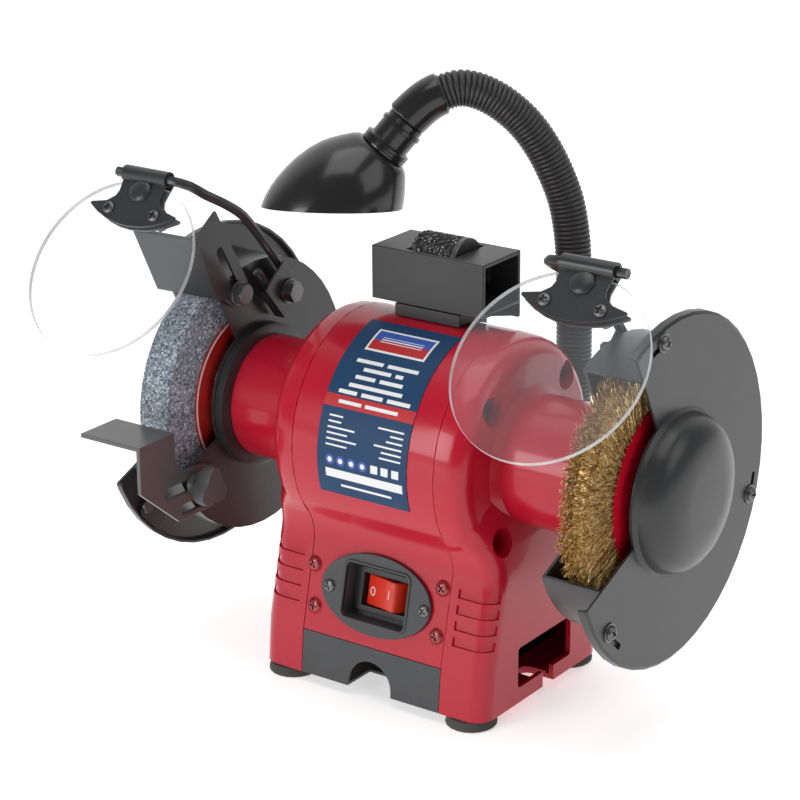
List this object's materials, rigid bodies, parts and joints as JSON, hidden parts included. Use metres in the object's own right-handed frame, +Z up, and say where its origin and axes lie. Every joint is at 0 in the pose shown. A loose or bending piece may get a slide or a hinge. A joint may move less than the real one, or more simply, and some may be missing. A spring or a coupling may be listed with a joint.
{
  "type": "bench grinder",
  "caption": "Bench grinder with a grinding wheel, a wire wheel, guards, eye shields on rods, tool rest, spark arrestor, wheel dresser and gooseneck lamp.",
  "frame": {"origin": "on the bench surface under the middle of the machine's outline, feet at z = 0", "axes": "+X along the spindle towards the wire wheel, +Z up, -Y towards the operator"},
  "size_m": [0.3912, 0.2395, 0.3397],
  "materials": {
    "red_paint": "glossy red enamel on cast aluminium",
    "black_paint": "satin charcoal powder coat on sheet steel",
    "black_plastic": "moulded black plastic",
    "dark_plastic": "moulded dark grey plastic",
    "gloss_black": "glossy black lamp shade",
    "rubber": "moulded rubber feet",
    "steel": "turned or pressed steel",
    "laminations": "stacked electrical steel",
    "copper": null,
    "grit": null,
    "label_red": "red card or pressed plate",
    "brass": "crimped brass wire",
    "clear_plastic": "clear polycarbonate",
    "rocker_red": "bright red rocker",
    "bulb_white": "frosted lamp"
  },
  "bodies": {
    "housing": {"centre_shell": "red_paint", "right_end_housing": "red_paint", "left_end_housing": "red_paint", "base_cover": "dark_plastic", "run_capacitor": "dark_plastic", "switch_bezel": "dark_plastic", "foot_front_left": "rubber", "foot_front_right": "rubber", "foot_rear_left": "rubber", "foot_rear_right": "rubber", "stator_core": "laminations", "right_winding": "copper", "left_winding": "copper", "switch_body": "black_plastic", "dresser_plinth": "black_plastic", "lamp_socket": "black_plastic", "neck_lower": "black_plastic", "cable_gland": "black_plastic", "right_bearing_outer": "steel", "right_guard": "black_paint", "right_guard_cover": "black_paint", "right_clamp_bolt": "black_paint", "left_bearing_outer": "steel", "left_guard": "black_paint", "left_guard_cover": "black_paint", "left_clamp_bolt": "black_paint"},
    "spindle": {"shaft": "steel", "rotor_core": "laminations", "grinding_wheel": "grit", "left_blotter": "label_red", "wire_wheel": "brass", "wire_wheel_hub": "label_red", "right_bearing_inner": "steel", "right_inner_flange": "steel", "right_outer_flange": "steel", "right_nut": "steel", "left_bearing_inner": "steel", "left_inner_flange": "steel", "left_outer_flange": "steel", "left_nut": "steel"},
    "rocker": {"switch_rocker": "rocker_red"},
    "spark_guard": {"spark_arrestor": "black_paint"},
    "rest": {"tool_rest": "steel"},
    "knob": {"tool_rest_knob": "dark_plastic"},
    "left_arm": {"left_shield_rod": "black_paint", "left_rod_clamp": "black_paint"},
    "right_arm": {"right_shield_rod": "black_paint", "right_rod_clamp": "black_paint"},
    "left_visor": {"left_shield_clip": "black_paint", "left_eye_shield": "clear_plastic"},
    "right_visor": {"right_shield_clip": "black_paint", "right_eye_shield": "clear_plastic"},
    "gooseneck_low": {"neck_middle": "black_plastic"},
    "gooseneck_high": {"neck_upper": "black_plastic"},
    "lamp_head": {"lamp_sleeve": "black_plastic", "lamp_shade": "gloss_black", "lamp_bulb": "bulb_white"},
    "dresser": {"dresser_box": "black_plastic", "dresser_pin": "steel"},
    "cutters": {"dresser_cutters": "steel"}
  },
  "joints": [
    {"name": "spindle_spin", "type": "hinge", "parent": "housing", "child": "spindle", "pos_m": [0, 0.023, 0.141], "axis": [1, 0, 0], "continuous": true},
    {"name": "switch_rocker", "type": "hinge", "parent": "housing", "child": "rocker", "pos_m": [0, -0.01443, 0.05763], "axis": [0, 0.225, 0.9744], "range_deg": [0, 18]},
    {"name": "spark_arrestor_slide", "type": "slide", "parent": "housing", "child": "spark_guard", "axis": [0, -0.484, 0.8751], "range_m": [-0.004, 0.0015]},
    {"name": "tool_rest_slide", "type": "slide", "parent": "housing", "child": "rest", "axis": [0, -1, 0], "range_m": [-0.003, 0.006]},
    {"name": "knob_turn", "type": "hinge", "parent": "housing", "child": "knob", "pos_m": [-0.11, -0.043, 0.1063], "axis": [1, 0, 0], "range_deg": [0, 180]},
    {"name": "left_arm_swing", "type": "hinge", "parent": "housing", "child": "left_arm", "pos_m": [-0.1155, 0.0392, 0.2006], "axis": [1, 0, 0], "range_deg": [-45, 12]},
    {"name": "left_shield_tilt", "type": "hinge", "parent": "left_arm", "child": "left_visor", "pos_m": [-0.143, -0.043, 0.2815], "axis": [1, 0, 0], "range_deg": [-40, 10]},
    {"name": "right_arm_swing", "type": "hinge", "parent": "housing", "child": "right_arm", "pos_m": [0.1155, 0.0392, 0.2006], "axis": [1, 0, 0], "range_deg": [-45, 12]},
    {"name": "right_shield_tilt", "type": "hinge", "parent": "right_arm", "child": "right_visor", "pos_m": [0.143, -0.04577, 0.27858], "axis": [1, 0, 0], "range_deg": [-40, 15]},
    {"name": "neck_low_bend", "type": "hinge", "parent": "housing", "child": "gooseneck_low", "pos_m": [0.0452, 0.1, 0.161], "axis": [-0.6428, 0.766, 0], "range_deg": [-4, 18]},
    {"name": "neck_side_bend", "type": "hinge", "parent": "gooseneck_low", "child": "gooseneck_high", "pos_m": [0.04443, 0.09936, 0.229], "axis": [-0.766, -0.6428, 0], "range_deg": [-15, 15]},
    {"name": "lamp_tilt", "type": "hinge", "parent": "gooseneck_high", "child": "lamp_head", "pos_m": [-0.01302, 0.05115, 0.327], "axis": [-0.6428, 0.766, 0], "range_deg": [-11, 22]},
    {"name": "dresser_slide", "type": "slide", "parent": "housing", "child": "dresser", "axis": [1, 0, 0], "range_m": [0, 0.05]},
    {"name": "cutter_spin", "type": "hinge", "parent": "dresser", "child": "cutters", "pos_m": [0, 0.038, 0.2373], "axis": [1, 0, 0], "continuous": true}
  ]
}
